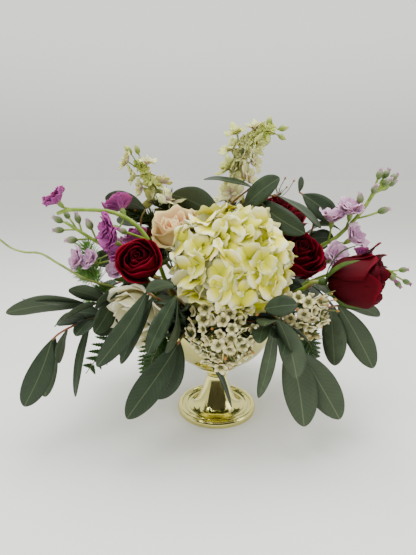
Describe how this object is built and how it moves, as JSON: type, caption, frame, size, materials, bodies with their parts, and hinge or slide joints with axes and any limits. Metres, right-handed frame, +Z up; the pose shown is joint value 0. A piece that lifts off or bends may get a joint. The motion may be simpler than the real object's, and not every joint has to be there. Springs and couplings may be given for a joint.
{
  "type": "floral table centerpiece",
  "caption": "All-round flower arrangement of hydrangea, roses, stock, larkspur, wax flower and drooping eucalyptus in foam in a footed gold metal bowl.",
  "frame": {"origin": "centre of the flat underside of the bowl's foot, on the surface it stands on", "axes": "+Z up, -Y towards the front of the arrangement where the large hydrangea faces, +X to its right"},
  "size_m": [0.4449, 0.2912, 0.3584],
  "materials": {
    "gold_metal": "polished",
    "steel": "satin",
    "foam": "matte",
    "cream_petals": "matte",
    "red_petals": "satin",
    "blush_petals": "satin",
    "ivory_petals": "satin",
    "magenta_petals": "matte",
    "lavender_petals": "matte",
    "larkspur_petals": "matte",
    "wax_petals": "satin",
    "eucalyptus_leaf": "matte",
    "fern_leaf": "satin",
    "green_stem": "satin"
  },
  "bodies": {
    "root": {"compote_foot": "gold_metal", "compote_collar": "gold_metal", "compote_bowl": "gold_metal", "bowl_nut": "steel", "foam_block": "foam", "hydrangea_front": "cream_petals", "hydrangea_back": "cream_petals", "hydrangea_front_stem": "green_stem", "hydrangea_back_stem": "green_stem", "rose_left": "red_petals", "rose_right": "red_petals", "rose_far_right": "red_petals", "rose_behind": "red_petals", "rose_back_red": "red_petals", "rose_blush": "blush_petals", "rose_back_blush": "blush_petals", "rose_ivory": "ivory_petals", "rose_left_stem": "green_stem", "rose_blush_stem": "green_stem", "rose_right_stem": "green_stem", "rose_far_right_stem": "green_stem", "rose_behind_stem": "green_stem", "rose_ivory_stem": "green_stem", "rose_back_red_stem": "green_stem", "rose_back_blush_stem": "green_stem", "stock_magenta": "magenta_petals", "stock_magenta_right": "magenta_petals", "stock_lavender_left": "lavender_petals", "stock_lavender_right": "lavender_petals", "larkspur_left": "larkspur_petals", "larkspur_right": "larkspur_petals", "wax_flower_front": "wax_petals", "wax_flower_right": "wax_petals", "wax_flower_left": "wax_petals", "wax_flower_top": "wax_petals", "eucalyptus_left_reach": "eucalyptus_leaf", "eucalyptus_left_droop": "eucalyptus_leaf", "eucalyptus_front_left": "eucalyptus_leaf", "eucalyptus_front_centre": "eucalyptus_leaf", "eucalyptus_front_low": "eucalyptus_leaf", "eucalyptus_front_right": "eucalyptus_leaf", "eucalyptus_right_low": "eucalyptus_leaf", "eucalyptus_right": "eucalyptus_leaf", "eucalyptus_top_right": "eucalyptus_leaf", "eucalyptus_top": "eucalyptus_leaf", "eucalyptus_right_back": "eucalyptus_leaf", "eucalyptus_left_back": "eucalyptus_leaf", "eucalyptus_back_1": "eucalyptus_leaf", "eucalyptus_back_2": "eucalyptus_leaf", "eucalyptus_back_3": "eucalyptus_leaf", "eucalyptus_back_4": "eucalyptus_leaf", "fern_left": "fern_leaf", "fern_front": "fern_leaf", "fern_right": "fern_leaf", "fern_back_left": "fern_leaf", "fern_back_right": "fern_leaf", "feather_fern_runner": "fern_leaf"}
  },
  "joints": []
}
